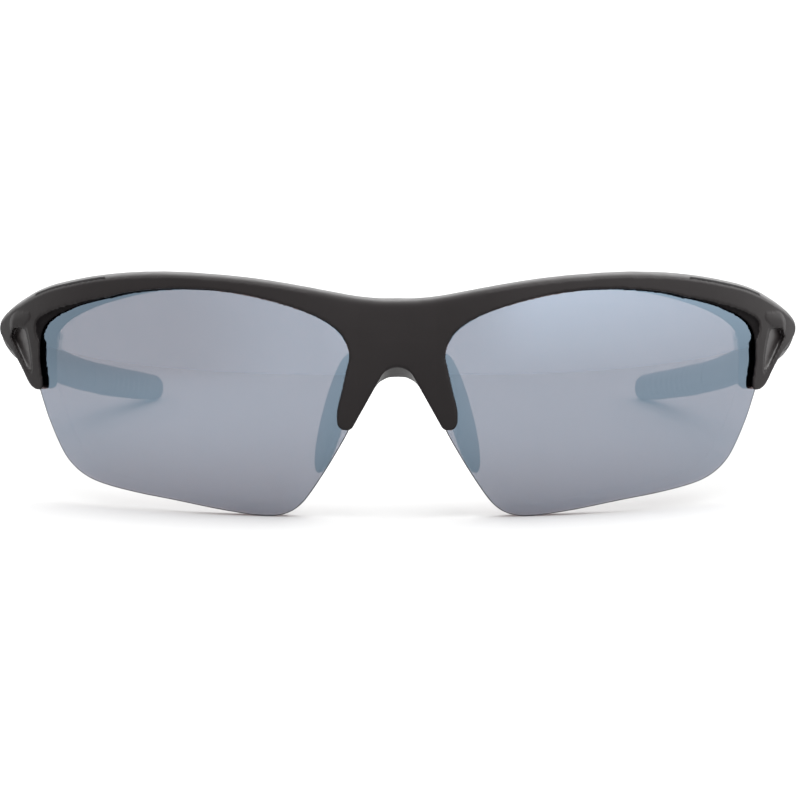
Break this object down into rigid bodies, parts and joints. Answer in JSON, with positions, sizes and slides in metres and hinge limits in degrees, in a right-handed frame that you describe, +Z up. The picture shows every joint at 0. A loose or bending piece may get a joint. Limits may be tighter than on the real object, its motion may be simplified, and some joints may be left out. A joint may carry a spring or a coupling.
{
  "type": "wraparound sport sunglasses",
  "caption": "Half-rim wraparound sport sunglasses with curved tinted lenses, rubber nose pads and folding temples with rubber grips.",
  "frame": {"origin": "on the table, under the middle of the overall box", "axes": "+Z up, -Y out of the front of the lenses, +X towards the wearer's left"},
  "size_m": [0.141, 0.15, 0.0411],
  "materials": {
    "frame_nylon": "fine moulded satin",
    "mirror_lens": "polished, smoke tint under a silver-blue flash coat",
    "soft_rubber": "matte",
    "insert_nylon": "moulded",
    "hinge_steel": "brushed",
    "fastener_steel": "turned and polished"
  },
  "bodies": {
    "front": {"front_frame": "frame_nylon", "left_lens": "mirror_lens", "right_lens": "mirror_lens", "left_nose_pad": "soft_rubber", "right_nose_pad": "soft_rubber", "left_pad_insert": "insert_nylon", "right_pad_insert": "insert_nylon", "left_frame_hinge": "hinge_steel", "right_frame_hinge": "hinge_steel", "left_frame_rivets": "fastener_steel", "right_frame_rivets": "fastener_steel", "left_hinge_screw": "fastener_steel", "right_hinge_screw": "fastener_steel"},
    "left_temple": {"left_temple_arm": "frame_nylon", "left_temple_grip": "soft_rubber", "left_temple_hinge": "hinge_steel", "left_temple_rivets": "fastener_steel"},
    "right_temple": {"right_temple_arm": "frame_nylon", "right_temple_grip": "soft_rubber", "right_temple_hinge": "hinge_steel", "right_temple_rivets": "fastener_steel"}
  },
  "joints": [
    {"name": "left_temple_fold", "type": "hinge", "parent": "front", "child": "left_temple", "pos_m": [0.0624, -0.0365, 0.0273], "axis": [0, 0.1736, 0.9848], "range_deg": [0, 88]},
    {"name": "right_temple_fold", "type": "hinge", "parent": "front", "child": "right_temple", "pos_m": [-0.0624, -0.0365, 0.0273], "axis": [0, -0.1736, -0.9848], "range_deg": [0, 78]}
  ]
}
